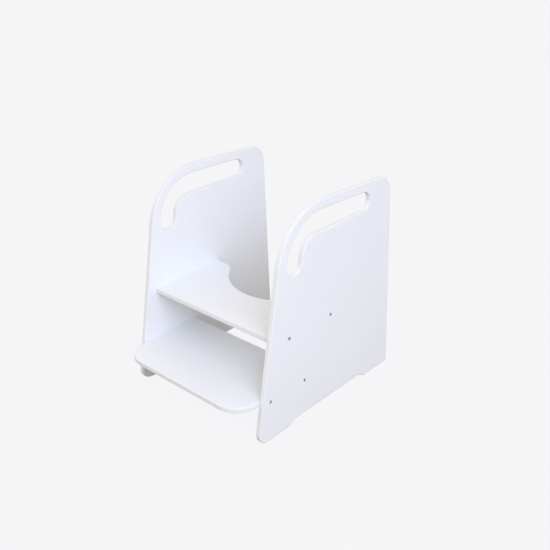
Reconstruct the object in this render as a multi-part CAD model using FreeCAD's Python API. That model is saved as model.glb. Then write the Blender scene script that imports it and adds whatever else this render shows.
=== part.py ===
import FreeCAD, Part
import math
import os

# Two-step toilet stool: two side panels with hand-hold slots carry an upper and a lower step board.
# Millimetres, +Z up, the front of the stool faces -Y.
# The origin is on the floor, in the middle of the stool's footprint.

Vector = FreeCAD.Vector

# Overall size and board stock
OVERALL_WIDTH = 402.0
OVERALL_DEPTH = 490.0
BOARD = 12.0
EDGE_ROUND = 2.4
HALF_WIDTH = OVERALL_WIDTH / 2
INNER_HALF_WIDTH = HALF_WIDTH - BOARD
REAR = OVERALL_DEPTH / 2
NOSE = -OVERALL_DEPTH / 2

# Anti-slip pads and the level of the panels' feet
PAD_THICKNESS = 1.5
PAD_LENGTH = 44.0
PAD_WIDTH = 7.0
FRONT_PAD_Y = -149.0
REAR_PAD_Y = 196.0

# Side panel outline
PANEL_DEPTH = 450.0
PANEL_REAR_HEIGHT = 480.5
TOP_RISE = math.tan(math.radians(2.63))
FRONT_LEAN = math.tan(math.radians(12.24))
PANEL_FRONT = REAR - PANEL_DEPTH
TOP_REAR_RADIUS = 42.0
TOP_FRONT_RADIUS = 139.0
FRONT_FOOT_RADIUS = 24.0
REAR_FOOT_RADIUS = 5.0

# Shallow arch between the feet
ARCH_HEIGHT = 10.6
ARCH_FRONT = -107.0
ARCH_FRONT_RAMP = 21.0
ARCH_REAR = 156.0
ARCH_REAR_RAMP = 21.0
ARCH_FRONT_RADIUS = 20.0
ARCH_REAR_RADIUS = 9.0

# Hand-hold slot, bent round the top front corner
TOP_BAR = 20.8
FRONT_BAR = 22.8
SLOT_OUTER_RADIUS = 111.0
SLOT_FLOOR = 423.0
SLOT_FRONT_WIDTH = 45.5
SLOT_INNER_RADIUS = 46.0
SLOT_REAR_END = 169.0
SLOT_LOWER_END = 354.5
SLOT_REAR_RADIUS = 19.5
SLOT_LOWER_RADIUS = 21.5

# Upper step board
UPPER_TOP = 225.0
UPPER_FRONT = -134.0
UPPER_REAR = 66.5
CUTOUT_RADIUS = 147.5
CUTOUT_Y = 127.0
HORN_RADIUS = 60.0

# Lower step board
LOWER_TOP = 101.5
LOWER_REAR = -25.5
NOSE_CORNER_RADIUS = 58.0
REAR_CORNER_RADIUS = 3.0

# Countersunk wood screws
SCREW_LENGTH = 40.0
SCREW_SINK = 0.15
HEAD_DIAMETER = 7.6
HEAD_RIM = 0.3
THREAD_DIAMETER = 3.9
THREAD_ROOT = 2.8
THREAD_PITCH = 1.8
PLAIN_SHANK = 14.0
SCREW_TIP = 5.0
RECESS_WIDTH = 4.2
RECESS_SLOT = 0.95
RECESS_DEPTH = 2.0
PILOT_DIAMETER = 4.0
CLEARANCE_DIAMETER = 4.2
COUNTERSINK_GAP = 0.05
UPPER_SCREWS_Y = {"front": -98.4, "rear": 34.4}
LOWER_SCREWS_Y = {"front": -161.3, "rear": -55.1}

# Locating dowels, one in the middle of each board end
DOWEL_DIAMETER = 6.0
DOWEL_LENGTH = 30.0
DOWEL_IN_PANEL = 8.0
DOWEL_CHAMFER = 0.6
DOWEL_HOLE_GAP = 0.05
DOWEL_END_GAP = 0.5
DOWEL_FLUTES = 12
FLUTE_RADIUS = 0.3

SIDES = {"left": -1, "right": 1}
UPPER_MIDDLE = UPPER_TOP - BOARD / 2
LOWER_MIDDLE = LOWER_TOP - BOARD / 2


def rounded_loop(corners):
    """Closed wire through (point, radius) corners, each corner replaced by a tangent arc."""
    runs = []
    for index, (point, radius) in enumerate(corners):
        before = (corners[index - 1][0] - point).normalize()
        after = (corners[(index + 1) % len(corners)][0] - point).normalize()
        half_angle = before.getAngle(after) / 2
        setback = radius / math.tan(half_angle)
        towards_centre = (before + after).normalize()
        centre = point + towards_centre * (radius / math.sin(half_angle))
        middle = centre - towards_centre * radius
        runs.append((point + before * setback, middle, point + after * setback))
    edges = []
    for index, (start, middle, end) in enumerate(runs):
        previous_end = runs[index - 1][2]
        if previous_end.distanceToPoint(start) > 1e-6:
            edges.append(Part.LineSegment(previous_end, start).toShape())
        edges.append(Part.Arc(start, middle, end).toShape())
    return Part.Wire(edges)


def side_point(y, z):
    """Point of the panel outline, in the plane of the stool's middle."""
    return Vector(0, y, z)


def top_edge_height(y, drop=0.0):
    """Height of the line parallel to the panel's top edge, drop below it."""
    return PANEL_REAR_HEIGHT - drop * math.hypot(1, TOP_RISE) + TOP_RISE * (REAR - y)


def front_edge_y(z, inset=0.0):
    """Y of the line parallel to the panel's front edge, inset behind it."""
    return PANEL_FRONT + inset * math.hypot(1, FRONT_LEAN) + FRONT_LEAN * z


def top_front_corner(drop, inset):
    """Where the lines parallel to the top and front edges meet."""
    height_at_floor_line = top_edge_height(front_edge_y(0, inset), drop)
    height = height_at_floor_line / (1 + TOP_RISE * FRONT_LEAN)
    return side_point(front_edge_y(height, inset), height)


def panel_outline():
    """Outer edge of a side panel, with its feet and the arch between them."""
    foot = PAD_THICKNESS
    ceiling = PAD_THICKNESS + ARCH_HEIGHT
    return rounded_loop([
        (side_point(REAR, foot), REAR_FOOT_RADIUS),
        (side_point(REAR, PANEL_REAR_HEIGHT), TOP_REAR_RADIUS),
        (top_front_corner(0, 0), TOP_FRONT_RADIUS),
        (side_point(front_edge_y(foot), foot), FRONT_FOOT_RADIUS),
        (side_point(ARCH_FRONT, foot), ARCH_FRONT_RADIUS),
        (side_point(ARCH_FRONT + ARCH_FRONT_RAMP, ceiling), ARCH_FRONT_RADIUS),
        (side_point(ARCH_REAR - ARCH_REAR_RAMP, ceiling), ARCH_REAR_RADIUS),
        (side_point(ARCH_REAR, foot), ARCH_REAR_RADIUS),
    ])


def slot_outline():
    """Hand-hold slot: a level run behind the top edge that turns down behind the front edge."""
    inner_inset = FRONT_BAR + SLOT_FRONT_WIDTH
    return rounded_loop([
        (side_point(SLOT_REAR_END, SLOT_FLOOR), SLOT_REAR_RADIUS),
        (side_point(SLOT_REAR_END, top_edge_height(SLOT_REAR_END, TOP_BAR)), SLOT_REAR_RADIUS),
        (top_front_corner(TOP_BAR, FRONT_BAR), SLOT_OUTER_RADIUS),
        (side_point(front_edge_y(SLOT_LOWER_END, FRONT_BAR), SLOT_LOWER_END), SLOT_LOWER_RADIUS),
        (side_point(front_edge_y(SLOT_LOWER_END, inner_inset), SLOT_LOWER_END), SLOT_LOWER_RADIUS),
        (side_point(front_edge_y(SLOT_FLOOR, inner_inset), SLOT_FLOOR), SLOT_INNER_RADIUS),
    ])


def screw_places(side):
    """Names and head centres of the four screws on one side."""
    places = {}
    for level, ys, z in (("upper", UPPER_SCREWS_Y, UPPER_MIDDLE), ("lower", LOWER_SCREWS_Y, LOWER_MIDDLE)):
        for end, y in ys.items():
            places[f"{level}_{side}_{end}_screw"] = Vector(SIDES[side] * HALF_WIDTH, y, z)
    return places


def dowel_places(side):
    """Names of the two dowels on one side, with the point where each crosses the joint."""
    joint_x = SIDES[side] * INNER_HALF_WIDTH
    upper_y = sum(UPPER_SCREWS_Y.values()) / 2
    lower_y = sum(LOWER_SCREWS_Y.values()) / 2
    return {
        f"upper_{side}_dowel": Vector(joint_x, upper_y, UPPER_MIDDLE),
        f"lower_{side}_dowel": Vector(joint_x, lower_y, LOWER_MIDDLE),
    }


def inward(side):
    """Unit vector from the side's panel towards the middle of the stool."""
    return Vector(-SIDES[side], 0, 0)


def panel_drillings(side):
    """Countersunk clearance holes and blind dowel holes in one panel."""
    direction = inward(side)
    head_radius = HEAD_DIAMETER / 2 + COUNTERSINK_GAP
    cone_depth = (HEAD_DIAMETER - CLEARANCE_DIAMETER) / 2 + COUNTERSINK_GAP
    drillings = []
    for centre in screw_places(side).values():
        rim_depth = SCREW_SINK + HEAD_RIM
        cone_start = centre + direction * rim_depth
        drillings.append(Part.makeCylinder(head_radius, rim_depth, centre, direction))
        drillings.append(Part.makeCone(head_radius, CLEARANCE_DIAMETER / 2, cone_depth, cone_start, direction))
        drillings.append(Part.makeCylinder(CLEARANCE_DIAMETER / 2, BOARD, centre, direction))
    for joint in dowel_places(side).values():
        depth = DOWEL_IN_PANEL + DOWEL_END_GAP
        drillings.append(Part.makeCylinder(DOWEL_DIAMETER / 2 + DOWEL_HOLE_GAP, depth, joint, -direction))
    return drillings


def board_drillings(level):
    """Pilot and dowel holes in both ends of one step board."""
    drillings = []
    for side in SIDES:
        direction = inward(side)
        for name, centre in screw_places(side).items():
            if name.startswith(level):
                depth = SCREW_SINK + SCREW_LENGTH + DOWEL_END_GAP
                drillings.append(Part.makeCylinder(PILOT_DIAMETER / 2, depth, centre, direction))
        for name, joint in dowel_places(side).items():
            if name.startswith(level):
                depth = DOWEL_LENGTH - DOWEL_IN_PANEL + DOWEL_END_GAP
                drillings.append(Part.makeCylinder(DOWEL_DIAMETER / 2 + DOWEL_HOLE_GAP, depth, joint, direction))
    return drillings


def side_panel(side):
    """Side panel with its slot cut through and every outer and slot edge rounded over."""
    outer = Part.Face(panel_outline())
    slot = Part.Face(slot_outline())
    inner_x = INNER_HALF_WIDTH if SIDES[side] > 0 else -HALF_WIDTH
    blank = outer.cut(slot).extrude(Vector(BOARD, 0, 0))
    blank.translate(Vector(inner_x, 0, 0))
    rims = [edge for edge in blank.Edges if edge.BoundBox.XLength < BOARD / 2]
    panel = blank.makeFillet(EDGE_ROUND, rims)
    return panel.cut(panel_drillings(side)).Solids[0]


def board_between_panels(outline, top):
    """Board of the standard thickness under a plan outline."""
    board = Part.Face(outline).extrude(Vector(0, 0, BOARD))
    board.translate(Vector(0, 0, top - BOARD))
    return board


def plan_rims(board):
    """Top and bottom edges of a board, without those along its ends at the panels."""
    rims = []
    for edge in board.Edges:
        box = edge.BoundBox
        lies_flat = box.ZLength < BOARD / 2
        at_panel = box.XLength < EDGE_ROUND and abs(abs(box.XMin) - INNER_HALF_WIDTH) < EDGE_ROUND
        if lies_flat and not at_panel:
            rims.append(edge)
    return rims


def upper_outline():
    """Plan of the upper board: straight front, two horns and a round cut-out between them."""
    horn_centre_y = UPPER_REAR - HORN_RADIUS
    centre_distance = CUTOUT_RADIUS + HORN_RADIUS
    horn_centre_x = math.sqrt(centre_distance ** 2 - (CUTOUT_Y - horn_centre_y) ** 2)
    cutout_centre = Vector(0, CUTOUT_Y, 0)
    edges = []
    ends = {}
    for hand in (-1, 1):
        horn_centre = Vector(hand * horn_centre_x, horn_centre_y, 0)
        meeting = cutout_centre + (horn_centre - cutout_centre) * (CUTOUT_RADIUS / centre_distance)
        tip = horn_centre + Vector(0, HORN_RADIUS, 0)
        outward = ((meeting - horn_centre).normalize() + Vector(0, 1, 0)).normalize()
        rear_corner = Vector(hand * INNER_HALF_WIDTH, UPPER_REAR, 0)
        front_corner = Vector(hand * INNER_HALF_WIDTH, UPPER_FRONT, 0)
        edges.append(Part.Arc(tip, horn_centre + outward * HORN_RADIUS, meeting).toShape())
        edges.append(Part.LineSegment(tip, rear_corner).toShape())
        edges.append(Part.LineSegment(rear_corner, front_corner).toShape())
        ends[hand] = (meeting, front_corner)
    deepest = cutout_centre - Vector(0, CUTOUT_RADIUS, 0)
    edges.append(Part.Arc(ends[-1][0], deepest, ends[1][0]).toShape())
    edges.append(Part.LineSegment(ends[-1][1], ends[1][1]).toShape())
    return Part.Wire(Part.__sortEdges__(edges))


def upper_step_board():
    """Upper tread, drilled at both ends, front and rear edges rounded over."""
    board = board_between_panels(upper_outline(), UPPER_TOP)
    board = board.makeFillet(EDGE_ROUND, plan_rims(board))
    return board.cut(board_drillings("upper")).Solids[0]


def lower_outline():
    """Plan of the lower board: a nose with two large corners and a straight rear edge."""
    return rounded_loop([
        (Vector(-INNER_HALF_WIDTH, NOSE, 0), NOSE_CORNER_RADIUS),
        (Vector(INNER_HALF_WIDTH, NOSE, 0), NOSE_CORNER_RADIUS),
        (Vector(INNER_HALF_WIDTH, LOWER_REAR, 0), REAR_CORNER_RADIUS),
        (Vector(-INNER_HALF_WIDTH, LOWER_REAR, 0), REAR_CORNER_RADIUS),
    ])


def lower_step_board():
    """Lower tread: its nose is rounded all round, its ends are square where the panels hold them."""
    rounded = board_between_panels(lower_outline(), LOWER_TOP)
    flat_edges = [edge for edge in rounded.Edges if edge.BoundBox.ZLength < BOARD / 2]
    rounded = rounded.makeFillet(EDGE_ROUND, flat_edges)
    held_from = front_edge_y(LOWER_TOP)
    held_to = LOWER_REAR - REAR_CORNER_RADIUS
    corner = Vector(-INNER_HALF_WIDTH, held_from, LOWER_TOP - BOARD)
    square = Part.makeBox(2 * INNER_HALF_WIDTH, held_to - held_from, BOARD, corner)
    return rounded.fuse(square).removeSplitter().cut(board_drillings("lower")).Solids[0]


def screw_profile():
    """Half section of a screw, x along the axis from the head's face, y the radius."""
    head = HEAD_DIAMETER / 2
    crest = THREAD_DIAMETER / 2
    root = THREAD_ROOT / 2
    head_end = HEAD_RIM + head - crest
    points = [(0, 0), (0, head), (HEAD_RIM, head), (head_end, crest), (PLAIN_SHANK, crest)]
    position = PLAIN_SHANK
    while position + THREAD_PITCH < SCREW_LENGTH - SCREW_TIP:
        points.append((position + THREAD_PITCH * 0.25, root))
        points.append((position + THREAD_PITCH * 0.7, root))
        points.append((position + THREAD_PITCH * 0.95, crest))
        points.append((position + THREAD_PITCH, crest))
        position += THREAD_PITCH
    points.append((SCREW_LENGTH - SCREW_TIP, root))
    points.append((SCREW_LENGTH, 0))
    return points


def screw(centre, direction):
    """Countersunk screw with a cross recess, its thread drawn as rings."""
    points = [Vector(x, radius, 0) for x, radius in screw_profile()]
    outline = Part.makePolygon(points + [points[0]])
    body = Part.Face(outline).revolve(Vector(0, 0, 0), Vector(1, 0, 0), 360)
    arm = Part.makeBox(RECESS_DEPTH, RECESS_WIDTH, RECESS_SLOT, Vector(0, -RECESS_WIDTH / 2, -RECESS_SLOT / 2))
    other_arm = Part.makeBox(RECESS_DEPTH, RECESS_SLOT, RECESS_WIDTH, Vector(0, -RECESS_SLOT / 2, -RECESS_WIDTH / 2))
    body = body.cut([arm, other_arm]).Solids[0]
    body.Placement = FreeCAD.Placement(centre + direction * SCREW_SINK, FreeCAD.Rotation(Vector(1, 0, 0), direction))
    return body


def dowel(joint, direction):
    """Fluted beech dowel with chamfered ends, across one joint."""
    radius = DOWEL_DIAMETER / 2
    x_axis = Vector(1, 0, 0)
    body = Part.makeCylinder(radius, DOWEL_LENGTH, Vector(0, 0, 0), x_axis)
    rims = [edge for edge in body.Edges if edge.BoundBox.XLength < DOWEL_LENGTH / 2]
    body = body.makeChamfer(DOWEL_CHAMFER, rims)
    flutes = []
    for index in range(DOWEL_FLUTES):
        angle = 2 * math.pi * index / DOWEL_FLUTES
        start = Vector(0, radius * math.cos(angle), radius * math.sin(angle))
        flutes.append(Part.makeCylinder(FLUTE_RADIUS, DOWEL_LENGTH, start, x_axis))
    body = body.cut(flutes).Solids[0]
    start = joint - direction * DOWEL_IN_PANEL
    body.Placement = FreeCAD.Placement(start, FreeCAD.Rotation(x_axis, direction))
    return body


def foot_pad(side, y):
    """Thin anti-slip pad with rounded ends under one foot of a panel."""
    middle_x = SIDES[side] * (HALF_WIDTH - BOARD / 2)
    half_width = PAD_WIDTH / 2
    half_length = PAD_LENGTH / 2
    corners = [(-half_width, -half_length), (half_width, -half_length), (half_width, half_length),
               (-half_width, half_length)]
    outline = rounded_loop([(Vector(middle_x + x, y + along, 0), half_width * 0.9) for x, along in corners])
    return Part.Face(outline).extrude(Vector(0, 0, PAD_THICKNESS))


def build_nodes():
    """Every piece of the stool by its node name."""
    nodes = {"upper_step_board": upper_step_board(), "lower_step_board": lower_step_board()}
    for side in SIDES:
        nodes[f"{side}_side_panel"] = side_panel(side)
        for name, centre in screw_places(side).items():
            nodes[name] = screw(centre, inward(side))
        for name, joint in dowel_places(side).items():
            nodes[name] = dowel(joint, inward(side))
        nodes[f"front_{side}_foot_pad"] = foot_pad(side, FRONT_PAD_Y)
        nodes[f"rear_{side}_foot_pad"] = foot_pad(side, REAR_PAD_Y)
    return nodes


def main():
    """Write one STEP file per piece."""
    os.makedirs("parts", exist_ok=True)
    for name, shape in build_nodes().items():
        shape.exportStep(f"parts/{name}.step")
        print(f"{name}: {shape.ShapeType}, valid {shape.isValid()}, {shape.Volume / 1000:.2f} cm3")


main()
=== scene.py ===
"""Two-step toilet stool in white lacquered board.

Each sub-assembly is a class: its sizes are fields, and its methods build its meshes and dress them.
Metres, +Z up, the front of the stool faces -Y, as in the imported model.
"""

import logging
import math
from collections.abc import Callable, Iterable, Sequence
from dataclasses import dataclass, field
from enum import Enum

import bmesh
import bpy
from mathutils import Matrix, Vector


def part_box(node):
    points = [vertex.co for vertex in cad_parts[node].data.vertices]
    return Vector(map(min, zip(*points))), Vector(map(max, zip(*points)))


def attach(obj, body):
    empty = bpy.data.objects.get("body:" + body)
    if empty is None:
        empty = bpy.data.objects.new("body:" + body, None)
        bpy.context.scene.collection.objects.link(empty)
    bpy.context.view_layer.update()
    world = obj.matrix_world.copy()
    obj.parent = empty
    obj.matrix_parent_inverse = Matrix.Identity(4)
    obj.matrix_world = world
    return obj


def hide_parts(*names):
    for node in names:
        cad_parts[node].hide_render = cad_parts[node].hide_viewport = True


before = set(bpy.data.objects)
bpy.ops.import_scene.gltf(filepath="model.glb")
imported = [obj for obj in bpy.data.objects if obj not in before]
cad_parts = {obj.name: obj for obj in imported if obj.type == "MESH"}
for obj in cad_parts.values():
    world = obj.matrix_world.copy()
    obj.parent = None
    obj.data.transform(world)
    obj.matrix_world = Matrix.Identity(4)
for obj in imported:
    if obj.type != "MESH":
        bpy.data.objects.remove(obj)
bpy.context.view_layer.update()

Triple = tuple[float, float, float]
Socket = bpy.types.NodeSocket
Shape = bmesh.types.BMesh

LOG = logging.getLogger("stool")
BODY = "root"
ARC_TOLERANCE = 0.00002
ARC_MIN_STEPS = 4
MERGE_WITHIN = 0.000001
FLAT_WITHIN = 0.01
SQUARE_WITHIN = 0.1
SHARP_ANGLE = math.radians(32)
NORMAL_WEIGHT = 100
EDGE_ROUND = 0.0024
BEVEL_SEGMENTS = 6
EASE_SEGMENTS = 3
CHAMFER_SEGMENTS = 1
LATHE_STEPS = 48
EDGE_ATTRIBUTE = "cut_edge"
TURNING_MAP = "turning"
LEVELS = ("upper", "lower")
ENDS = ("front", "rear")


class Slot(Enum):
    """Material slots of the record."""

    LACQUER = "white_lacquer"
    ZINC = "zinc_screw"
    BEECH = "beech_dowel"
    RUBBER = "grip_rubber"


class Side(Enum):
    """Side of the stool, with the sign of its X."""

    LEFT = -1
    RIGHT = 1

    @property
    def word(self) -> str:
        """Name of the side as the nodes spell it."""
        return self.name.lower()


class Joinery(Enum):
    """What one solid does to another on the bench."""

    CUT = "DIFFERENCE"
    JOIN = "UNION"


CAD_HALF_WIDTH = max(abs(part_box(f"{side.word}_side_panel")[0].x) for side in Side)


class ShaderTree:
    """A material's nodes, with short ways to add and join them."""

    def __init__(self, name: str) -> None:
        """Start a material with a Principled shader.

        Args:
            name: Name of the material.
        """
        self.material = bpy.data.materials.new(name)
        self.material.use_nodes = True
        self.tree = self.material.node_tree
        self.surface = self.tree.nodes["Principled BSDF"]
        self.object_place = self.tree.nodes.new("ShaderNodeTexCoord").outputs["Object"]

    def set(self, **values: float | Sequence[float]) -> None:
        """Set constant values on the shader's own sockets.

        Args:
            values: Socket names in lower case with underscores, and their values.
        """
        for name, value in values.items():
            socket = next(s for s in self.surface.inputs if s.name.lower().replace(" ", "_") == name)
            socket.default_value = value

    def join(self, source: Socket, target: Socket) -> None:
        """Link two sockets."""
        self.tree.links.new(source, target)

    def feed(self, name: str, source: Socket) -> None:
        """Link a socket to one of the shader's inputs by its name."""
        self.join(source, self.surface.inputs[name])

    def stretched(self, scale: Sequence[float]) -> Socket:
        """Object coordinates multiplied along each axis.

        Args:
            scale: Factor for each axis.

        Returns:
            The stretched coordinates.
        """
        mapping = self.tree.nodes.new("ShaderNodeMapping")
        mapping.inputs["Scale"].default_value = scale
        self.join(self.object_place, mapping.inputs["Vector"])
        return mapping.outputs["Vector"]

    def noise(self, scale: float, detail: float = 2.0, place: Socket | None = None) -> Socket:
        """Noise from 0 to 1.

        Args:
            scale: Patches per metre.
            detail: Octaves.
            place: Coordinates to read, the object's own by default.

        Returns:
            The noise value.
        """
        node = self.tree.nodes.new("ShaderNodeTexNoise")
        node.inputs["Scale"].default_value = scale
        node.inputs["Detail"].default_value = detail
        self.join(place or self.object_place, node.inputs["Vector"])
        return node.outputs["Fac"]

    def spread(self, source: Socket, low: float, high: float,
               start: float = 0.3, stop: float = 0.7) -> Socket:
        """Map a value to a new range, clamped.

        Args:
            source: The value.
            low: Result at start.
            high: Result at stop.
            start: Value that becomes low.
            stop: Value that becomes high.

        Returns:
            The mapped value.
        """
        node = self.tree.nodes.new("ShaderNodeMapRange")
        for name, value in (("From Min", start), ("From Max", stop), ("To Min", low), ("To Max", high)):
            node.inputs[name].default_value = value
        self.join(source, node.inputs["Value"])
        return node.outputs["Result"]

    def math(self, operation: str, first: Socket, second: Socket | float) -> Socket:
        """Arithmetic on two values.

        Args:
            operation: Name of the operation.
            first: First value.
            second: Second value, a socket or a number.

        Returns:
            The result.
        """
        node = self.tree.nodes.new("ShaderNodeMath")
        node.operation = operation
        self.join(first, node.inputs[0])
        if isinstance(second, float):
            node.inputs[1].default_value = second
        else:
            self.join(second, node.inputs[1])
        return node.outputs["Value"]

    def blend(self, factor: Socket, first: Sequence[float] | Socket, second: Sequence[float]) -> Socket:
        """Mix two colours.

        Args:
            factor: Share of the second colour.
            first: First colour, as a value or a socket.
            second: Second colour.

        Returns:
            The mixed colour.
        """
        node = self.tree.nodes.new("ShaderNodeMix")
        node.data_type = "RGBA"
        colours = [s for s in node.inputs if s.type == "RGBA"]
        self.join(factor, node.inputs["Factor"])
        if isinstance(first, Socket):
            self.join(first, colours[0])
        else:
            colours[0].default_value = (*first, 1.0)
        colours[1].default_value = (*second, 1.0)
        return next(s for s in node.outputs if s.type == "RGBA")

    def rings(self, count: float) -> Socket:
        """Distance from the turning axis, as a coordinate.

        Args:
            count: Length of the coordinate at the head's rim.

        Returns:
            The coordinate.
        """
        across = self.tree.nodes.new("ShaderNodeUVMap")
        across.uv_map = TURNING_MAP
        reach = self.tree.nodes.new("ShaderNodeVectorMath")
        reach.operation = "LENGTH"
        self.join(across.outputs["UV"], reach.inputs[0])
        return self.math("MULTIPLY", reach.outputs["Value"], count)

    def attribute(self, name: str) -> Socket:
        """Value of one of the mesh's own attributes.

        Args:
            name: Name of the attribute.

        Returns:
            The value.
        """
        node = self.tree.nodes.new("ShaderNodeAttribute")
        node.attribute_name = name
        return node.outputs["Fac"]

    def bump(self, heights: Iterable[tuple[Socket, float]]) -> None:
        """Raise the surface by a chain of heights.

        Args:
            heights: Each height from 0 to 1, with the real height of 1 in metres.
        """
        previous = None
        for height, distance in heights:
            node = self.tree.nodes.new("ShaderNodeBump")
            node.inputs["Distance"].default_value = distance
            self.join(height, node.inputs["Height"])
            if previous is not None:
                self.join(previous, node.inputs["Normal"])
            previous = node.outputs["Normal"]
        self.feed("Normal", previous)


@dataclass(frozen=True)
class LacquerFinish:
    """Sprayed satin lacquer on fibreboard: orange peel, painted shade on the round-over rims, and on the
    edges a fibre pattern with painted shade.
    """

    white: Triple = (0.845, 0.862, 0.895)
    warm_white: Triple = (0.832, 0.845, 0.872)
    # Cut edges: an open fibre pattern in a colour darkened further as painted shade.
    edge_white: Triple = (0.795, 0.8, 0.81)
    # Painted shade that darkens the round-over rims.
    rim_white: Triple = (0.765, 0.78, 0.81)
    cloud_per_metre: float = 7.0
    closed_share: float = 0.35
    rim_peak: float = 4.0
    patch_per_metre: float = 26.0
    smooth: float = 0.34
    dull: float = 0.42
    edge_dulling: float = 0.26
    face_shine: float = 0.5
    edge_shine: float = 0.22
    coat: float = 0.04
    coat_roughness: float = 0.34
    peel_per_metre: float = 340.0
    peel_height: float = 0.00002
    fibre_per_metre: float = 1500.0
    fibre_height: float = 0.00003

    def material(self) -> bpy.types.Material:
        """Mix the lacquer; its share of cut edge, e, runs from 0 on a face to 1 on an edge.

        Returns:
            The lacquer as a material.
        """
        shader = ShaderTree("satin_white_lacquer")
        edge = shader.attribute(EDGE_ATTRIBUTE)
        cloud = shader.spread(shader.noise(self.cloud_per_metre, 3.0), 0.0, 1.0)
        body = shader.blend(cloud, self.white, self.warm_white)
        fibres = shader.noise(self.fibre_per_metre, 3.0)
        # Fibre pattern on the cut edges and round-overs, partly open grain and partly painted shade.
        edge_grain_and_shade_mask = shader.math("MULTIPLY", edge, shader.spread(fibres, self.closed_share, 1.0))
        body_with_shaded_edges = shader.blend(edge_grain_and_shade_mask, body, self.edge_white)
        # Painted shade on the round-over rims: its share is 4 e (1 - e), which is 1 halfway round.
        rim = shader.math("MULTIPLY", edge, shader.spread(edge, self.rim_peak, 0.0, 0.0, 1.0))
        shader.feed("Base Color", shader.blend(rim, body_with_shaded_edges, self.rim_white))
        peel = shader.noise(self.peel_per_metre, 1.5)
        patch = shader.spread(shader.noise(self.patch_per_metre, 4.0), self.smooth, self.dull)
        rough_edge = shader.math("MULTIPLY", edge, self.edge_dulling)
        shader.feed("Roughness", shader.math("ADD", patch, rough_edge))
        shader.feed("Specular IOR Level", shader.spread(edge, self.face_shine, self.edge_shine, 0.0, 1.0))
        shader.set(coat_weight=self.coat, coat_roughness=self.coat_roughness)
        fibre_height = shader.math("MULTIPLY", fibres, edge)
        shader.bump([(peel, self.peel_height), (fibre_height, self.fibre_height)])
        return shader.material


@dataclass(frozen=True)
class ZincFinish:
    """Bright zinc plating over turned steel."""

    bright: Triple = (0.7, 0.79, 0.86)
    dark: Triple = (0.5, 0.57, 0.63)
    spots_per_metre: float = 900.0
    marks_per_radius: float = 22.0
    mark_height: float = 0.000012
    grain_per_metre: float = 5200.0
    grain_height: float = 0.000004
    smooth: float = 0.22
    dull: float = 0.42

    def material(self) -> bpy.types.Material:
        """Mix the plating, with fine turning marks round the screw's axis.

        Returns:
            The plating as a material.
        """
        shader = ShaderTree("bright_zinc")
        marks = shader.noise(1.0, 3.0, shader.rings(self.marks_per_radius))
        spots = shader.spread(shader.noise(self.spots_per_metre, 4.0), 0.0, 1.0)
        shader.feed("Base Color", shader.blend(spots, self.bright, self.dark))
        shader.feed("Roughness", shader.spread(marks, self.smooth, self.dull))
        shader.set(metallic=1.0)
        shader.bump([(marks, self.mark_height), (shader.noise(self.grain_per_metre), self.grain_height)])
        return shader.material


@dataclass(frozen=True)
class BeechFinish:
    """Steamed beech, its fibres along the stool's width, with short darker flecks."""

    pale: Triple = (0.66, 0.45, 0.27)
    deep: Triple = (0.5, 0.31, 0.17)
    fleck: Triple = (0.36, 0.2, 0.1)
    fibres_per_metre: Triple = (60.0, 1400.0, 1400.0)
    flecks_per_metre: Triple = (420.0, 3800.0, 3800.0)
    fleck_share: float = 0.8
    fleck_from: float = 0.6
    fleck_full: float = 0.72
    smooth: float = 0.5
    dull: float = 0.68
    fibre_height: float = 0.00005

    def material(self) -> bpy.types.Material:
        """Mix the wood.

        Returns:
            The wood as a material.
        """
        shader = ShaderTree("steamed_beech")
        fibres = shader.noise(1.0, 4.0, shader.stretched(self.fibres_per_metre))
        flecks = shader.noise(1.0, 2.0, shader.stretched(self.flecks_per_metre))
        wood = shader.blend(shader.spread(fibres, 0.0, 1.0), self.pale, self.deep)
        flecked = shader.spread(flecks, 0.0, self.fleck_share, self.fleck_from, self.fleck_full)
        shader.feed("Base Color", shader.blend(flecked, wood, self.fleck))
        shader.feed("Roughness", shader.spread(fibres, self.smooth, self.dull))
        shader.bump([(fibres, self.fibre_height)])
        return shader.material


@dataclass(frozen=True)
class RubberFinish:
    """Matt thermoplastic rubber with a fine moulded grain."""

    pale: Triple = (0.36, 0.36, 0.37)
    dark: Triple = (0.27, 0.27, 0.28)
    cloud_per_metre: float = 300.0
    patch_per_metre: float = 1200.0
    smooth: float = 0.72
    dull: float = 0.88
    shine: float = 0.4
    grain_per_metre: float = 2600.0
    grain_height: float = 0.00004

    def material(self) -> bpy.types.Material:
        """Mix the rubber.

        Returns:
            The rubber as a material.
        """
        shader = ShaderTree("matt_grip_rubber")
        shader.feed("Base Color", shader.blend(shader.noise(self.cloud_per_metre, 3.0), self.pale, self.dark))
        shader.feed("Roughness", shader.spread(shader.noise(self.patch_per_metre), self.smooth, self.dull))
        shader.set(specular_ior_level=self.shine)
        shader.bump([(shader.noise(self.grain_per_metre, 3.0), self.grain_height)])
        return shader.material


@dataclass
class Paintshop:
    """One material for each slot of the record."""

    materials: dict[Slot, bpy.types.Material] = field(default_factory=dict)

    def mix(self) -> None:
        """Make every finish once."""
        finishes = {Slot.LACQUER: LacquerFinish(), Slot.ZINC: ZincFinish(),
                    Slot.BEECH: BeechFinish(), Slot.RUBBER: RubberFinish()}
        for slot, finish in finishes.items():
            self.materials[slot] = finish.material()
            LOG.info("mixed %s for %s", self.materials[slot].name, slot.value)

    def coat(self, piece: bpy.types.Object, slot: Slot) -> None:
        """Give a piece its finish.

        Args:
            piece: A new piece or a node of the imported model.
            slot: The slot whose finish it takes.
        """
        if not piece.material_slots:
            piece.data.materials.append(None)
        for place in piece.material_slots:
            place.material = self.materials[slot]


@dataclass(frozen=True)
class Corner:
    """Corner of a drawn loop, with the radius that rounds it."""

    place: Vector
    radius: float


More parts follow.
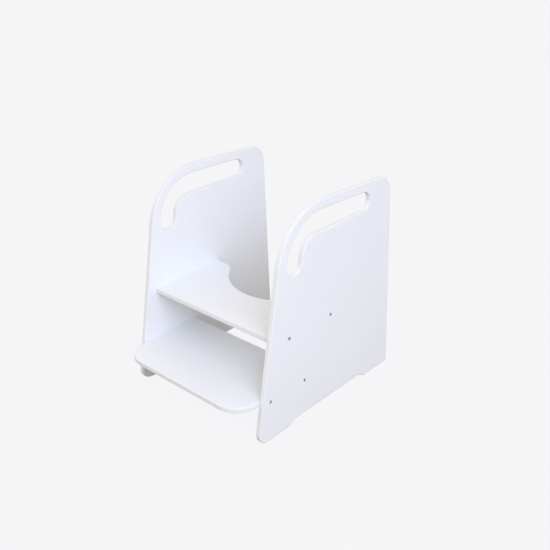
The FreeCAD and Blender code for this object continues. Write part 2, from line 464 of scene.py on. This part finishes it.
def draw_arc(sketch: Shape, start: Vector, centre: Vector, axis: Vector,
             turn: float) -> tuple[bmesh.types.BMVert, bmesh.types.BMVert]:
    """Sweep a point round a centre.

    Args:
        sketch: The drawing.
        start: Where the arc begins.
        centre: Its centre.
        axis: Axis it turns about.
        turn: Angle in radians.

    Returns:
        The first and last vertex.
    """
    radius = (start - centre).length
    steps = max(ARC_MIN_STEPS, math.ceil(turn / (2 * math.acos(1 - ARC_TOLERANCE / radius))))
    first = sketch.verts.new(start)
    swept = bmesh.ops.spin(sketch, geom=[first], cent=centre, axis=axis, angle=turn, steps=steps)
    last = next(part for part in swept["geom_last"] if isinstance(part, bmesh.types.BMVert))
    return first, last


def draw_loop(sketch: Shape, corners: Sequence[Corner]) -> None:
    """Draw a closed loop of straight runs and tangent arcs.

    Args:
        sketch: The drawing.
        corners: The loop's corners in order.
    """
    ends = []
    for index, corner in enumerate(corners):
        before = (corners[index - 1].place - corner.place).normalized()
        after = (corners[(index + 1) % len(corners)].place - corner.place).normalized()
        half = before.angle(after) / 2
        centre = corner.place + (before + after).normalized() * (corner.radius / math.sin(half))
        start = corner.place + before * (corner.radius / math.tan(half))
        ends.append(draw_arc(sketch, start, centre, (-before).cross(after).normalized(), math.pi - 2 * half))
    for index, (first, _) in enumerate(ends):
        sketch.edges.new((ends[index - 1][1], first))


def thicken(sketch: Shape, depth: Vector) -> None:
    """Fill a drawing and pull it into a board.

    Args:
        sketch: Closed loops in one plane; an inner loop becomes an opening.
        depth: Direction and thickness of the board.
    """
    bmesh.ops.triangle_fill(sketch, use_beauty=True, use_dissolve=False, edges=sketch.edges[:], normal=depth)
    bmesh.ops.dissolve_limit(sketch, angle_limit=FLAT_WITHIN, use_dissolve_boundaries=False,
                             verts=sketch.verts[:], edges=sketch.edges[:])
    pulled = bmesh.ops.extrude_face_region(sketch, geom=sketch.faces[:])
    moved = [part for part in pulled["geom"] if isinstance(part, bmesh.types.BMVert)]
    bmesh.ops.translate(sketch, vec=depth, verts=moved)
    bmesh.ops.recalc_face_normals(sketch, faces=sketch.faces[:])


def round_over(board: Shape, wanted: Callable[[bmesh.types.BMEdge], bool],
               radius: float = EDGE_ROUND, segments: int = BEVEL_SEGMENTS) -> None:
    """Round the square rims of a board.

    Args:
        board: The board.
        wanted: Says whether a square edge is rounded.
        radius: Radius of the rounding.
        segments: Flats that make it up.
    """
    square = [edge for edge in board.edges
              if edge.is_manifold and abs(edge.calc_face_angle() - math.pi / 2) < SQUARE_WITHIN]
    rims = [edge for edge in square if wanted(edge)]
    bmesh.ops.bevel(board, geom=rims, offset=radius, offset_type="OFFSET", affect="EDGES",
                    segments=segments, profile=0.5, clamp_overlap=False, material=-1)


def lathe(profile: Sequence[tuple[float, float]], start: Vector, direction: Vector) -> Shape:
    """Turn a half section about an axis.

    Args:
        profile: Distances along the axis with their radii, from tip to tip.
        start: Where the axis begins.
        direction: Direction of the axis, of length one.

    Returns:
        The closed turned solid.
    """
    across = direction.orthogonal().normalized()
    turned = bmesh.new()
    points = [turned.verts.new(start + direction * along + across * radius) for along, radius in profile]
    edges = [turned.edges.new(pair) for pair in zip(points, points[1:])]
    bmesh.ops.spin(turned, geom=points + edges, cent=start, axis=direction, angle=2 * math.pi,
                   steps=LATHE_STEPS, use_merge=True)
    bmesh.ops.remove_doubles(turned, verts=turned.verts[:], dist=MERGE_WITHIN)
    bmesh.ops.recalc_face_normals(turned, faces=turned.faces[:])
    return turned


def bench_object(name: str, shape: Shape) -> bpy.types.Object:
    """Lay a mesh on the bench as an object, and free its bmesh.

    Args:
        name: Name of the object.
        shape: The mesh.

    Returns:
        The object at the origin.
    """
    mesh = bpy.data.meshes.new(name)
    shape.to_mesh(mesh)
    shape.free()
    laid = bpy.data.objects.new(name, mesh)
    bpy.context.scene.collection.objects.link(laid)
    return laid


def combine(work: Shape, tool: Shape, joinery: Joinery) -> Shape:
    """Cut one solid with another, or join them.

    Args:
        work: The solid worked on.
        tool: The solid that cuts it or joins it.
        joinery: Which of the two.

    Returns:
        The result.
    """
    laid = [bench_object(name, shape) for name, shape in (("bench_work", work), ("bench_tool", tool))]
    modifier = laid[0].modifiers.new("joinery", "BOOLEAN")
    modifier.operation = joinery.value
    modifier.solver = "EXACT"
    modifier.object = laid[1]
    result = bmesh.new()
    result.from_object(laid[0], bpy.context.evaluated_depsgraph_get())
    for used in laid:
        mesh = used.data
        bpy.data.objects.remove(used)
        bpy.data.meshes.remove(mesh)
    return result


def finish_piece(name: str, shape: Shape, edge_share: Callable[[Vector], float]) -> bpy.types.Object:
    """Turn a worked bmesh into a smooth-shaded piece with crisp joints.

    Args:
        name: Name of the piece.
        shape: Its mesh.
        edge_share: How much of a cut edge a point is, from 0 on a broad face to 1.

    Returns:
        The piece at the origin.
    """
    bmesh.ops.remove_doubles(shape, verts=shape.verts[:], dist=MERGE_WITHIN)
    layer = shape.verts.layers.float.new(EDGE_ATTRIBUTE)
    for vert in shape.verts:
        vert[layer] = edge_share(vert.co)
    for face in shape.faces:
        face.smooth = True
    for edge in shape.edges:
        edge.smooth = not edge.is_manifold or edge.calc_face_angle() < SHARP_ANGLE
    piece = bench_object(name, shape)
    normals = piece.modifiers.new("face_normals", "WEIGHTED_NORMAL")
    normals.mode = "FACE_AREA"
    normals.weight = NORMAL_WEIGHT
    normals.keep_sharp = True
    return piece


class NodePiece:
    """Common ground of the pieces: each is made new and stands for one node."""

    node: str
    slot: Slot = Slot.LACQUER

    def take_place(self) -> None:
        """Take the piece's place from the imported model."""
        self.low, self.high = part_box(self.node)

    def dress(self, piece: bpy.types.Object, paintshop: Paintshop) -> None:
        """Give the piece its finish and let it stand for its node.

        Args:
            piece: The piece.
            paintshop: Where the finishes are mixed.
        """
        paintshop.coat(piece, self.slot)
        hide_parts(self.node)
        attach(piece, BODY)


@dataclass(frozen=True)
class Drillings:
    """Screw and dowel holes, a hair wider than what goes into them."""

    gap: float = 0.00005
    end_gap: float = 0.0005
    rim: float = 0.00045
    clearance: float = 0.0021
    pilot: float = 0.002
    overshoot: float = 0.001

    def crossing(self, node: str, side: Side, across: float) -> Vector:
        """Where the axis of a screw or dowel crosses an upright plane.

        Args:
            node: Node of the screw or dowel.
            side: Side that it is on.
            across: X of the plane, without its sign.

        Returns:
            The point.
        """
        low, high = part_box(node)
        return Vector((side.value * across, (low.y + high.y) / 2, (low.z + high.z) / 2))

    def countersink(self, screw: str, side: Side, through: float) -> Shape:
        """Bit for a countersunk hole through a panel.

        Args:
            screw: Node of the screw.
            side: Side that the screw is on.
            through: Thickness of the panel.

        Returns:
            The bit.
        """
        low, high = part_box(screw)
        head = (high.z - low.z) / 2 + self.gap
        profile = [(-self.overshoot, 0.0), (-self.overshoot, head), (self.rim, head),
                   (self.rim + head - self.clearance, self.clearance),
                   (through + self.overshoot, self.clearance), (through + self.overshoot, 0.0)]
        return lathe(profile, self.crossing(screw, side, CAD_HALF_WIDTH), Vector((-side.value, 0, 0)))

    def pilot_hole(self, screw: str, side: Side, joint: float) -> Shape:
        """Bit for a screw's pilot hole in the end of a board.

        Args:
            screw: Node of the screw.
            side: Side that the screw is on.
            joint: X of the joint, without its sign.

        Returns:
            The bit.
        """
        tip = min(abs(corner.x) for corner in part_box(screw))
        start = self.crossing(screw, side, joint)
        return self.plain_bit(start, Vector((-side.value, 0, 0)), joint - tip + self.end_gap, self.pilot)

    def dowel_hole(self, dowel: str, side: Side, joint: float, into_panel: bool) -> Shape:
        """Bit for one half of a dowel's hole.

        Args:
            dowel: Node of the dowel.
            side: Side that the dowel is on.
            joint: X of the joint, without its sign.
            into_panel: True for the panel's half, False for the board's.

        Returns:
            The bit.
        """
        low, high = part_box(dowel)
        start = self.crossing(dowel, side, joint)
        outer, inner = max(abs(low.x), abs(high.x)), min(abs(low.x), abs(high.x))
        outward = Vector((side.value, 0, 0))
        radius = (high.z - low.z) / 2 + self.gap
        if into_panel:
            return self.plain_bit(start, outward, outer - joint + self.end_gap, radius)
        return self.plain_bit(start, -outward, joint - inner + self.end_gap, radius)

    def plain_bit(self, start: Vector, direction: Vector, depth: float, radius: float) -> Shape:
        """Straight bit that starts just outside the wood."""
        profile = [(-self.overshoot, 0.0), (-self.overshoot, radius), (depth, radius), (depth, 0.0)]
        return lathe(profile, start, direction)


@dataclass
class SidePanel(NodePiece):
    """Side panel: leaning front, round shoulders, a bent hand-hold slot and an arch between its feet."""

    side: Side
    depth: float = 0.45
    rear_height: float = 0.4805
    top_rise: float = math.tan(math.radians(2.63))
    front_lean: float = math.tan(math.radians(12.24))
    top_radii: tuple[float, float] = (0.042, 0.139)
    foot_radii: tuple[float, float] = (0.024, 0.005)
    arch_height: float = 0.0106
    arch_ends: tuple[float, float] = (-0.107, 0.156)
    arch_ramp: float = 0.021
    arch_radii: tuple[float, float] = (0.02, 0.009)
    top_bar: float = 0.0208
    front_bar: float = 0.0228
    slot_width: float = 0.0455
    slot_floor: float = 0.423
    slot_rear: float = 0.169
    slot_lower_end: float = 0.3545
    slot_end_radii: tuple[float, float] = (0.0195, 0.0215)
    slot_bend_radii: tuple[float, float] = (0.111, 0.046)

    def __post_init__(self) -> None:
        """Take the panel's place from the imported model."""
        self.node = f"{self.side.word}_side_panel"
        self.take_place()

    def top_z(self, y: float, drop: float = 0.0) -> float:
        """Height of the line parallel to the top edge, drop below it."""
        return self.rear_height - drop * math.hypot(1, self.top_rise) + self.top_rise * (self.high.y - y)

    def front_y(self, z: float, inset: float = 0.0) -> float:
        """Y of the line parallel to the front edge, inset behind it."""
        return self.high.y - self.depth + inset * math.hypot(1, self.front_lean) + self.front_lean * z

    def shoulder(self, drop: float, inset: float) -> Vector:
        """Where the lines parallel to the top and front edges meet.

        Args:
            drop: Distance of the first line below the top edge.
            inset: Distance of the second line behind the front edge.

        Returns:
            The point.
        """
        level = self.top_z(self.front_y(0, inset), drop)
        z = level / (1 + self.top_rise * self.front_lean)
        return Vector((self.low.x, self.front_y(z, inset), z))

    def point(self, y: float, z: float) -> Vector:
        """Point in the panel's left face."""
        return Vector((self.low.x, y, z))

    def outline(self) -> list[Corner]:
        """Outer edge, with its feet and the arch.

        Returns:
            Its corners in order.
        """
        foot, rear = self.low.z, self.high.y
        ceiling = foot + self.arch_height
        arch_front, arch_rear = self.arch_ends
        return [
            Corner(self.point(rear, foot), self.foot_radii[1]),
            Corner(self.point(rear, self.rear_height), self.top_radii[0]),
            Corner(self.shoulder(0, 0), self.top_radii[1]),
            Corner(self.point(self.front_y(foot), foot), self.foot_radii[0]),
            Corner(self.point(arch_front, foot), self.arch_radii[0]),
            Corner(self.point(arch_front + self.arch_ramp, ceiling), self.arch_radii[0]),
            Corner(self.point(arch_rear - self.arch_ramp, ceiling), self.arch_radii[1]),
            Corner(self.point(arch_rear, foot), self.arch_radii[1]),
        ]

    def hand_hold(self) -> list[Corner]:
        """Hand-hold slot, level behind the top edge and turned down behind the front edge.

        Returns:
            Its corners in order.
        """
        inner = self.front_bar + self.slot_width
        rear_end, front_end = self.slot_end_radii
        low = self.slot_lower_end
        outer_bend, inner_bend = self.slot_bend_radii
        return [
            Corner(self.point(self.slot_rear, self.slot_floor), rear_end),
            Corner(self.point(self.slot_rear, self.top_z(self.slot_rear, self.top_bar)), rear_end),
            Corner(self.shoulder(self.top_bar, self.front_bar), outer_bend),
            Corner(self.point(self.front_y(low, self.front_bar), low), front_end),
            Corner(self.point(self.front_y(low, inner), low), front_end),
            Corner(self.point(self.front_y(self.slot_floor, inner), self.slot_floor), inner_bend),
        ]

    def edge_share(self, place: Vector) -> float:
        """How much of a cut edge a point of the panel is."""
        return min(1.0, min(place.x - self.low.x, self.high.x - place.x) / EDGE_ROUND)

    def build(self, drillings: Drillings) -> bpy.types.Object:
        """Draw, thicken, round over and drill the panel.

        Args:
            drillings: The holes' clearances.

        Returns:
            The panel.
        """
        board = bmesh.new()
        draw_loop(board, self.outline())
        draw_loop(board, self.hand_hold())
        thickness = self.high.x - self.low.x
        thicken(board, Vector((thickness, 0, 0)))
        round_over(board, lambda edge: True)
        word, joint = self.side.word, CAD_HALF_WIDTH - thickness
        for level in LEVELS:
            for end in ENDS:
                bit = drillings.countersink(f"{level}_{word}_{end}_screw", self.side, thickness)
                board = combine(board, bit, Joinery.CUT)
            bit = drillings.dowel_hole(f"{level}_{word}_dowel", self.side, joint, into_panel=True)
            board = combine(board, bit, Joinery.CUT)
        return finish_piece(f"{word}_panel_lacquered", board, self.edge_share)


@dataclass
class StepBoard(NodePiece):
    """A tread between the panels, drilled at both ends."""

    level: str

    def __post_init__(self) -> None:
        """Take the board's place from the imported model."""
        self.node = f"{self.level}_step_board"
        self.take_place()

    def point(self, x: float, y: float) -> Vector:
        """Point in the board's underside."""
        return Vector((x, y, self.low.z))

    def edge_share(self, place: Vector) -> float:
        """How much of a cut edge a point of the board is."""
        return min(1.0, min(place.z - self.low.z, self.high.z - place.z) / EDGE_ROUND)

    def blank(self) -> Shape:
        """The board before it is drilled."""
        raise NotImplementedError

    def build(self, drillings: Drillings) -> bpy.types.Object:
        """Shape and drill the board.

        Args:
            drillings: The holes' clearances.

        Returns:
            The board.
        """
        board = self.blank()
        for side in Side:
            for end in ENDS:
                bit = drillings.pilot_hole(f"{self.level}_{side.word}_{end}_screw", side, self.high.x)
                board = combine(board, bit, Joinery.CUT)
            bit = drillings.dowel_hole(f"{self.level}_{side.word}_dowel", side, self.high.x, into_panel=False)
            board = combine(board, bit, Joinery.CUT)
        return finish_piece(f"{self.level}_tread_lacquered", board, self.edge_share)


@dataclass
class UpperTread(StepBoard):
    """Upper tread: straight front, and a round cut-out between two horns at the rear."""

    level: str = "upper"
    cutout_radius: float = 0.1475
    cutout_y: float = 0.127
    horn_radius: float = 0.06
    meet_within: float = 0.00001

    def blank(self) -> Shape:
        """Outline with the cut-out, rounded over along its front and rear.

        Returns:
            The board before it is drilled.
        """
        board = bmesh.new()
        up = Vector((0, 0, 1))
        reach = self.cutout_radius + self.horn_radius
        horn_y = self.high.y - self.horn_radius
        horn_x = math.sqrt(reach ** 2 - (self.cutout_y - horn_y) ** 2)
        hollow = self.point(0, self.cutout_y)
        horns = [self.point(side.value * horn_x, horn_y) for side in Side]
        meets = [hollow + (horn - hollow) * (self.cutout_radius / reach) for horn in horns]
        lean = Vector((0, 1, 0)).angle(meets[0] - horns[0])
        opening = (meets[0] - hollow).angle(meets[1] - hollow)
        left_horn = draw_arc(board, horns[0] + Vector((0, self.horn_radius, 0)), horns[0], -up, lean)
        scoop = draw_arc(board, meets[0], hollow, up, opening)
        right_horn = draw_arc(board, meets[1], horns[1], -up, lean)
        rear_right = board.verts.new(self.point(self.high.x, self.high.y))
        front_right = board.verts.new(self.point(self.high.x, self.low.y))
        front_left = board.verts.new(self.point(self.low.x, self.low.y))
        rear_left = board.verts.new(self.point(self.low.x, self.high.y))
        run = [right_horn[1], rear_right, front_right, front_left, rear_left, left_horn[0]]
        for pair in zip(run, run[1:]):
            board.edges.new(pair)
        bmesh.ops.remove_doubles(board, verts=[left_horn[1], *scoop, right_horn[0]], dist=self.meet_within)
        thicken(board, Vector((0, 0, self.high.z - self.low.z)))
        round_over(board, self.along_plan)
        return board

    def along_plan(self, edge: bmesh.types.BMEdge) -> bool:
        """Whether an edge is a rim of the top or underside, away from the panels.

        Args:
            edge: The edge.

        Returns:
            True if it is to be rounded.
        """
        first, second = (vert.co for vert in edge.verts)
        along_panel = abs(first.x - second.x) < EDGE_ROUND and self.high.x - abs(first.x) < EDGE_ROUND
        return abs(first.z - second.z) < EDGE_ROUND and not along_panel


@dataclass
class LowerTread(StepBoard):
    """Lower tread: a nose with two large corners, square where the panels hold it."""

    level: str = "lower"
    nose_radius: float = 0.058
    rear_radius: float = 0.003
    held_stop: float = 0.0036
    flush_within: float = 0.00001

    def blank(self) -> Shape:
        """Board rounded over all round, joined with its square held part.

        Returns:
            The board before it is drilled.
        """
        board = bmesh.new()
        draw_loop(board, [
            Corner(self.point(self.low.x, self.low.y), self.nose_radius),
            Corner(self.point(self.high.x, self.low.y), self.nose_radius),
            Corner(self.point(self.high.x, self.high.y), self.rear_radius),
            Corner(self.point(self.low.x, self.high.y), self.rear_radius),
        ])
        thicken(board, Vector((0, 0, self.high.z - self.low.z)))
        round_over(board, lambda edge: abs(edge.verts[0].co.z - edge.verts[1].co.z) < EDGE_ROUND)
        size = self.high - self.low
        held_from = SidePanel(Side.RIGHT).front_y(self.high.z)
        held_length = self.high.y - self.held_stop - held_from
        held = bmesh.new()
        bmesh.ops.create_cube(held, size=1.0)
        bmesh.ops.scale(held, vec=(size.x, held_length, size.z), verts=held.verts[:])
        middle = Vector((0, held_from + held_length / 2, (self.low.z + self.high.z) / 2))
        bmesh.ops.translate(held, vec=middle, verts=held.verts[:])
        for vert in (*board.verts, *held.verts):
            if self.high.x - abs(vert.co.x) < self.flush_within:
                vert.co.x = math.copysign(self.high.x, vert.co.x)
            for level in (self.low.z, self.high.z):
                if abs(vert.co.z - level) < self.flush_within:
                    vert.co.z = level
        return combine(board, held, Joinery.JOIN)


@dataclass
class Fitting(NodePiece):
    """A small part that joins or carries the boards, at the place of its node."""

    node: str
    slot: Slot

    def __post_init__(self) -> None:
        """Take the fitting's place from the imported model."""
        self.take_place()
        self.middle = (self.low + self.high) / 2
        self.side = Side.LEFT if self.middle.x < 0 else Side.RIGHT

    def shape(self) -> Shape:
        """The fitting's mesh, in place."""
        raise NotImplementedError

    def build(self, drillings: Drillings) -> bpy.types.Object:
        """Shape the fitting, which has no holes."""
        return finish_piece(f"{self.node}_finished", self.shape(), self.edge_share)

    def edge_share(self, place: Vector) -> float:
        """How much of a cut edge a point of the fitting is."""
        return 1.0

    def aimed(self, start_x: float) -> Matrix:
        """Placement that turns +X inwards from a point on the fitting's axis."""
        turn = Matrix.Rotation(math.pi if self.side is Side.RIGHT else 0.0, 4, "Z")
        return Matrix.Translation((start_x, self.middle.y, self.middle.z)) @ turn


@dataclass
class WoodScrew(Fitting):
    """Countersunk wood screw with a cross recess and a cut thread."""

    slot: Slot = Slot.ZINC
    length: float = 0.04
    head_radius: float = 0.0038
    rim: float = 0.0003
    rim_ease: float = 0.00008
    shank_radius: float = 0.00195
    root_radius: float = 0.0014
    plain_shank: float = 0.014
    tip: float = 0.005
    pitch: float = 0.0018
    recess_width: float = 0.0042
    recess_slot: float = 0.00095
    recess_depth: float = 0.002
    recess_taper: tuple[float, float] = (0.55, 0.8)
    thread_steps: int = 28
    thread_foot: float = 0.72
    thread_crest: tuple[float, float] = (0.32, 0.4)
    crest_share: float = 0.97
    sunk_share: float = 0.8
    thread_stop: float = 0.4
    tip_shrink: float = 0.8

    def core(self) -> Shape:
        """Head, shank and tapered root, turned about the screw's axis.

        Returns:
            The core, its head's face at the origin and its tip towards +X.
        """
        head_end = self.rim + self.head_radius - self.shank_radius
        profile = [(0.0, 0.0), (0.0, self.head_radius - self.rim_ease), (self.rim_ease, self.head_radius),
                   (self.rim, self.head_radius), (head_end, self.shank_radius),
                   (self.plain_shank, self.shank_radius),
                   (self.plain_shank + self.pitch / 2, self.root_radius),
                   (self.length - self.tip, self.root_radius), (self.length, 0.0)]
        return lathe(profile, Vector((0, 0, 0)), Vector((1, 0, 0)))

    def thread(self) -> Shape:
        """Helical ridge that fades into the tip.

        Returns:
            The ridge as a closed solid, its root sunk in the core.
        """
        ridge = bmesh.new()
        sunk = self.root_radius * self.sunk_share
        crest = self.shank_radius * self.crest_share
        start = self.plain_shank - self.pitch / 2
        rise, fall = self.thread_crest
        section = [(0.0, sunk), (self.pitch * rise, crest), (self.pitch * fall, crest),
                   (self.pitch * self.thread_foot, sunk)]
        verts = [ridge.verts.new((start + along, radius, 0.0)) for along, radius in section]
        face = ridge.faces.new(verts)
        travel = self.length - self.tip * self.thread_stop - start - self.pitch
        turns = travel / self.pitch
        steps = round(turns * self.thread_steps)
        bmesh.ops.spin(ridge, geom=[face], cent=(0, 0, 0), axis=(1, 0, 0), dvec=(travel / steps, 0, 0),
                       angle=2 * math.pi * turns, steps=steps)
        bmesh.ops.remove_doubles(ridge, verts=ridge.verts[:], dist=MERGE_WITHIN)
        bmesh.ops.recalc_face_normals(ridge, faces=ridge.faces[:])
        taper_from = self.length - self.tip
        for vert in ridge.verts:
            if vert.co.x > taper_from:
                share = 1 - self.tip_shrink * (vert.co.x - taper_from) / self.tip
                vert.co.y *= share
                vert.co.z *= share
        return ridge

    def recess(self) -> Shape:
        """Cross-shaped bit with tapered wings.

        Returns:
            The bit, its widest part at the origin.
        """
        wings = []
        for turn in (0.0, math.pi / 2):
            wing = bmesh.new()
            bmesh.ops.create_cube(wing, size=1.0)
            size = (2 * self.recess_depth, self.recess_width, self.recess_slot)
            bmesh.ops.scale(wing, vec=size, verts=wing.verts[:])
            deep = [vert for vert in wing.verts if vert.co.x > 0]
            bmesh.ops.scale(wing, vec=(1, *self.recess_taper), verts=deep)
            bmesh.ops.rotate(wing, cent=(0, 0, 0), matrix=Matrix.Rotation(turn, 3, "X"), verts=wing.verts[:])
            wings.append(wing)
        return combine(wings[0], wings[1], Joinery.JOIN)

    def shape(self) -> Shape:
        """Core with its recess cut and its thread joined on, and a map round its axis.

        Returns:
            The screw in its place.
        """
        body = combine(combine(self.core(), self.recess(), Joinery.CUT), self.thread(), Joinery.JOIN)
        outer = self.low.x if self.side is Side.LEFT else self.high.x
        bmesh.ops.transform(body, matrix=self.aimed(outer), verts=body.verts[:])
        across = body.loops.layers.uv.new(TURNING_MAP)
        for face in body.faces:
            for loop in face.loops:
                place = (loop.vert.co - self.middle) / self.head_radius
                loop[across].uv = (place.y, place.z)
        return body


@dataclass
class FlutedDowel(Fitting):
    """Dowel with chamfered ends and glue flutes along its length."""

    slot: Slot = Slot.BEECH
    flutes: int = 12
    flute_depth: float = 0.0003
    points: int = 48
    chamfer: float = 0.0006

    def shape(self) -> Shape:
        """Fluted circle drawn out to the dowel's length, both ends chamfered.

        Returns:
            The dowel in its place.
        """
        radius = (self.high.z - self.low.z) / 2
        upright = Matrix.Rotation(math.pi / 2, 4, "Y")
        body = bmesh.new()
        bmesh.ops.create_circle(body, radius=radius, segments=self.points, matrix=upright)
        grooves = list(body.verts)[::self.points // self.flutes]
        shrink = 1 - self.flute_depth / radius
        bmesh.ops.scale(body, vec=(1, shrink, shrink), verts=grooves)
        thicken(body, Vector((self.high.x - self.low.x, 0, 0)))
        round_over(body, lambda edge: abs(edge.verts[0].co.x - edge.verts[1].co.x) < self.chamfer,
                   self.chamfer, CHAMFER_SEGMENTS)
        place = Matrix.Translation((self.low.x, self.middle.y, self.middle.z))
        bmesh.ops.transform(body, matrix=place, verts=body.verts[:])
        return body


@dataclass
class FootPad(Fitting):
    """Thin anti-slip pad with round ends and eased rims."""

    slot: Slot = Slot.RUBBER
    ease: float = 0.0003
    end_share: float = 0.9

    def shape(self) -> Shape:
        """Rounded strip pulled up from the floor, its rims eased.

        Returns:
            The pad in its place.
        """
        body = bmesh.new()
        radius = (self.high.x - self.low.x) / 2 * self.end_share
        corners = ((self.low.x, self.low.y), (self.high.x, self.low.y), (self.high.x, self.high.y),
                   (self.low.x, self.high.y))
        draw_loop(body, [Corner(Vector((x, y, self.low.z)), radius) for x, y in corners])
        thicken(body, Vector((0, 0, self.high.z - self.low.z)))
        round_over(body, lambda edge: True, self.ease, EASE_SEGMENTS)
        return body


def fittings() -> list[Fitting]:
    """Every screw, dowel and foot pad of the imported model.

    Returns:
        The fittings, in the order of their names.
    """
    kinds = {"screw": WoodScrew, "dowel": FlutedDowel, "foot_pad": FootPad}
    return [kind(node=name) for name in sorted(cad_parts)
            for ending, kind in kinds.items() if name.endswith(ending)]


@dataclass
class SoftLight:
    """A rectangular soft box that looks at the stool."""

    name: str
    place: Vector
    power: float
    colour: Triple
    size: float = 2.2
    aim: Vector = field(default_factory=lambda: Vector((0, 0, 0.25)))

    def hang(self) -> None:
        """Put the soft box in the studio."""
        data = bpy.data.lights.new(self.name, "AREA")
        data.shape = "SQUARE"
        data.size = self.size
        data.energy = self.power
        data.color = self.colour
        lamp = bpy.data.objects.new(self.name, data)
        lamp.location = self.place
        lamp.rotation_euler = (self.aim - self.place).to_track_quat("-Z", "Y").to_euler()
        bpy.context.scene.collection.objects.link(lamp)


@dataclass
class Camera:
    """The camera, by its place and the way it is turned."""

    place: Vector = field(default_factory=lambda: Vector((1.1443, -1.0984, 1.0338)))
    lens: float = 50.73
    yaw: float = math.radians(-44.325)
    pitch: float = math.radians(-25.923)
    roll: float = math.radians(-2.5)
    near: float = 0.05
    far: float = 100.0

    def mount(self) -> None:
        """Put the camera in the studio and use it."""
        data = bpy.data.cameras.new("studio_camera")
        data.lens = self.lens
        data.clip_start = self.near
        data.clip_end = self.far
        ahead = Vector((math.sin(self.yaw) * math.cos(self.pitch),
                        math.cos(self.yaw) * math.cos(self.pitch), math.sin(self.pitch)))
        level = Vector((math.cos(self.yaw), -math.sin(self.yaw), 0))
        upright = level.cross(ahead)
        right = level * math.cos(self.roll) + upright * math.sin(self.roll)
        up = upright * math.cos(self.roll) - level * math.sin(self.roll)
        turned = Matrix((right, up, -ahead)).transposed().to_4x4()
        camera = bpy.data.objects.new("studio_camera", data)
        camera.matrix_world = Matrix.Translation(self.place) @ turned
        bpy.context.scene.collection.objects.link(camera)
        bpy.context.scene.camera = camera


def show_camera(tree: bpy.types.NodeTree, hidden: Socket, shown: Socket, share: float = 1.0) -> Socket:
    """Mix two shaders, so that the camera sees one and bouncing light meets the other.

    Args:
        tree: Where both shaders are.
        hidden: The shader that bouncing light meets.
        shown: The shader that the camera sees.
        share: How much of it the camera sees.

    Returns:
        The mixed shader.
    """
    path = tree.nodes.new("ShaderNodeLightPath")
    part = tree.nodes.new("ShaderNodeMath")
    part.operation = "MULTIPLY"
    part.inputs[1].default_value = share
    mix = tree.nodes.new("ShaderNodeMixShader")
    tree.links.new(path.outputs["Is Camera Ray"], part.inputs[0])
    tree.links.new(part.outputs["Value"], mix.inputs[0])
    tree.links.new(hidden, mix.inputs[1])
    tree.links.new(shown, mix.inputs[2])
    return mix.outputs[0]


@dataclass
class Studio:
    """Pale floor, even surroundings, soft boxes and the camera."""

    floor_size: float = 60.0
    floor_roughness: float = 0.9
    floor_white: Triple = (0.935, 0.935, 0.955)
    backdrop_white: Triple = (0.913, 0.913, 0.93)
    floor_bounce: Triple = (0.45, 0.39, 0.31)
    shadow_share: float = 0.04
    ambient: float = 0.697
    ambient_colour: Triple = (1.098, 1.009, 0.894)
    lights: list[SoftLight] = field(default_factory=lambda: [
        SoftLight("key_softbox", Vector((2.6, -1.2, 2.2)), 59.5, (0.868, 0.925, 1.225)),
        SoftLight("back_softbox", Vector((-2.1, 2.1, 1.4)), 6.2, (1.065, 1.0, 0.92)),
        SoftLight("near_softbox", Vector((0.9, -1.4, 0.9)), 4.7, (0.75, 1.09, 1.16)),
        SoftLight("rear_softbox", Vector((2.2, 1.8, 1.8)), 4.7, (0.1, 1.0, 1.9)),
        SoftLight("front_softbox", Vector((-1.8, -2.4, 1.6)), 5.8, (0.69, 0.96, 1.34)),
        SoftLight("left_softbox", Vector((-2.9, -0.3, 1.0)), 14.0, (0.95, 1.0, 1.1)),
    ])

    def lay_floor(self) -> None:
        """Lay the floor, which shows only a trace of the stool's shadow."""
        plane = bmesh.new()
        bmesh.ops.create_grid(plane, x_segments=1, y_segments=1, size=self.floor_size / 2)
        floor = bench_object("studio_floor", plane)
        shader = ShaderTree("pale_floor")
        shader.set(base_color=(*self.floor_bounce, 1.0), roughness=self.floor_roughness)
        glow = shader.tree.nodes.new("ShaderNodeEmission")
        glow.inputs["Color"].default_value = (*self.floor_white, 1.0)
        mixed = show_camera(shader.tree, shader.surface.outputs[0], glow.outputs[0], 1.0 - self.shadow_share)
        shader.join(mixed, shader.tree.nodes["Material Output"].inputs["Surface"])
        floor.data.materials.append(shader.material)

    def surround(self) -> None:
        """Light the studio evenly from all round, behind a backdrop as pale as the floor."""
        world = bpy.data.worlds.new("studio_surroundings")
        world.use_nodes = True
        tree = world.node_tree
        fill = tree.nodes["Background"]
        fill.inputs["Color"].default_value = (*self.ambient_colour, 1.0)
        fill.inputs["Strength"].default_value = self.ambient
        backdrop = tree.nodes.new("ShaderNodeBackground")
        backdrop.inputs["Color"].default_value = (*self.backdrop_white, 1.0)
        mixed = show_camera(tree, fill.outputs[0], backdrop.outputs[0])
        tree.links.new(mixed, tree.nodes["World Output"].inputs["Surface"])
        bpy.context.scene.world = world

    def set_up(self) -> None:
        """Set up the whole studio."""
        self.lay_floor()
        self.surround()
        for light in self.lights:
            light.hang()
        Camera().mount()
        bpy.context.scene.view_settings.view_transform = "Standard"


def main() -> None:
    """Build every piece, dress it and set up the studio."""
    logging.basicConfig(level=logging.INFO, format="%(message)s")
    paintshop = Paintshop()
    paintshop.mix()
    drillings = Drillings()
    for part in (SidePanel(Side.LEFT), SidePanel(Side.RIGHT), UpperTread(), LowerTread(), *fittings()):
        piece = part.build(drillings)
        part.dress(piece, paintshop)
        LOG.info("built %s, %d faces", piece.name, len(piece.data.polygons))
    Studio().set_up()


if __name__ == "__main__":
    main()
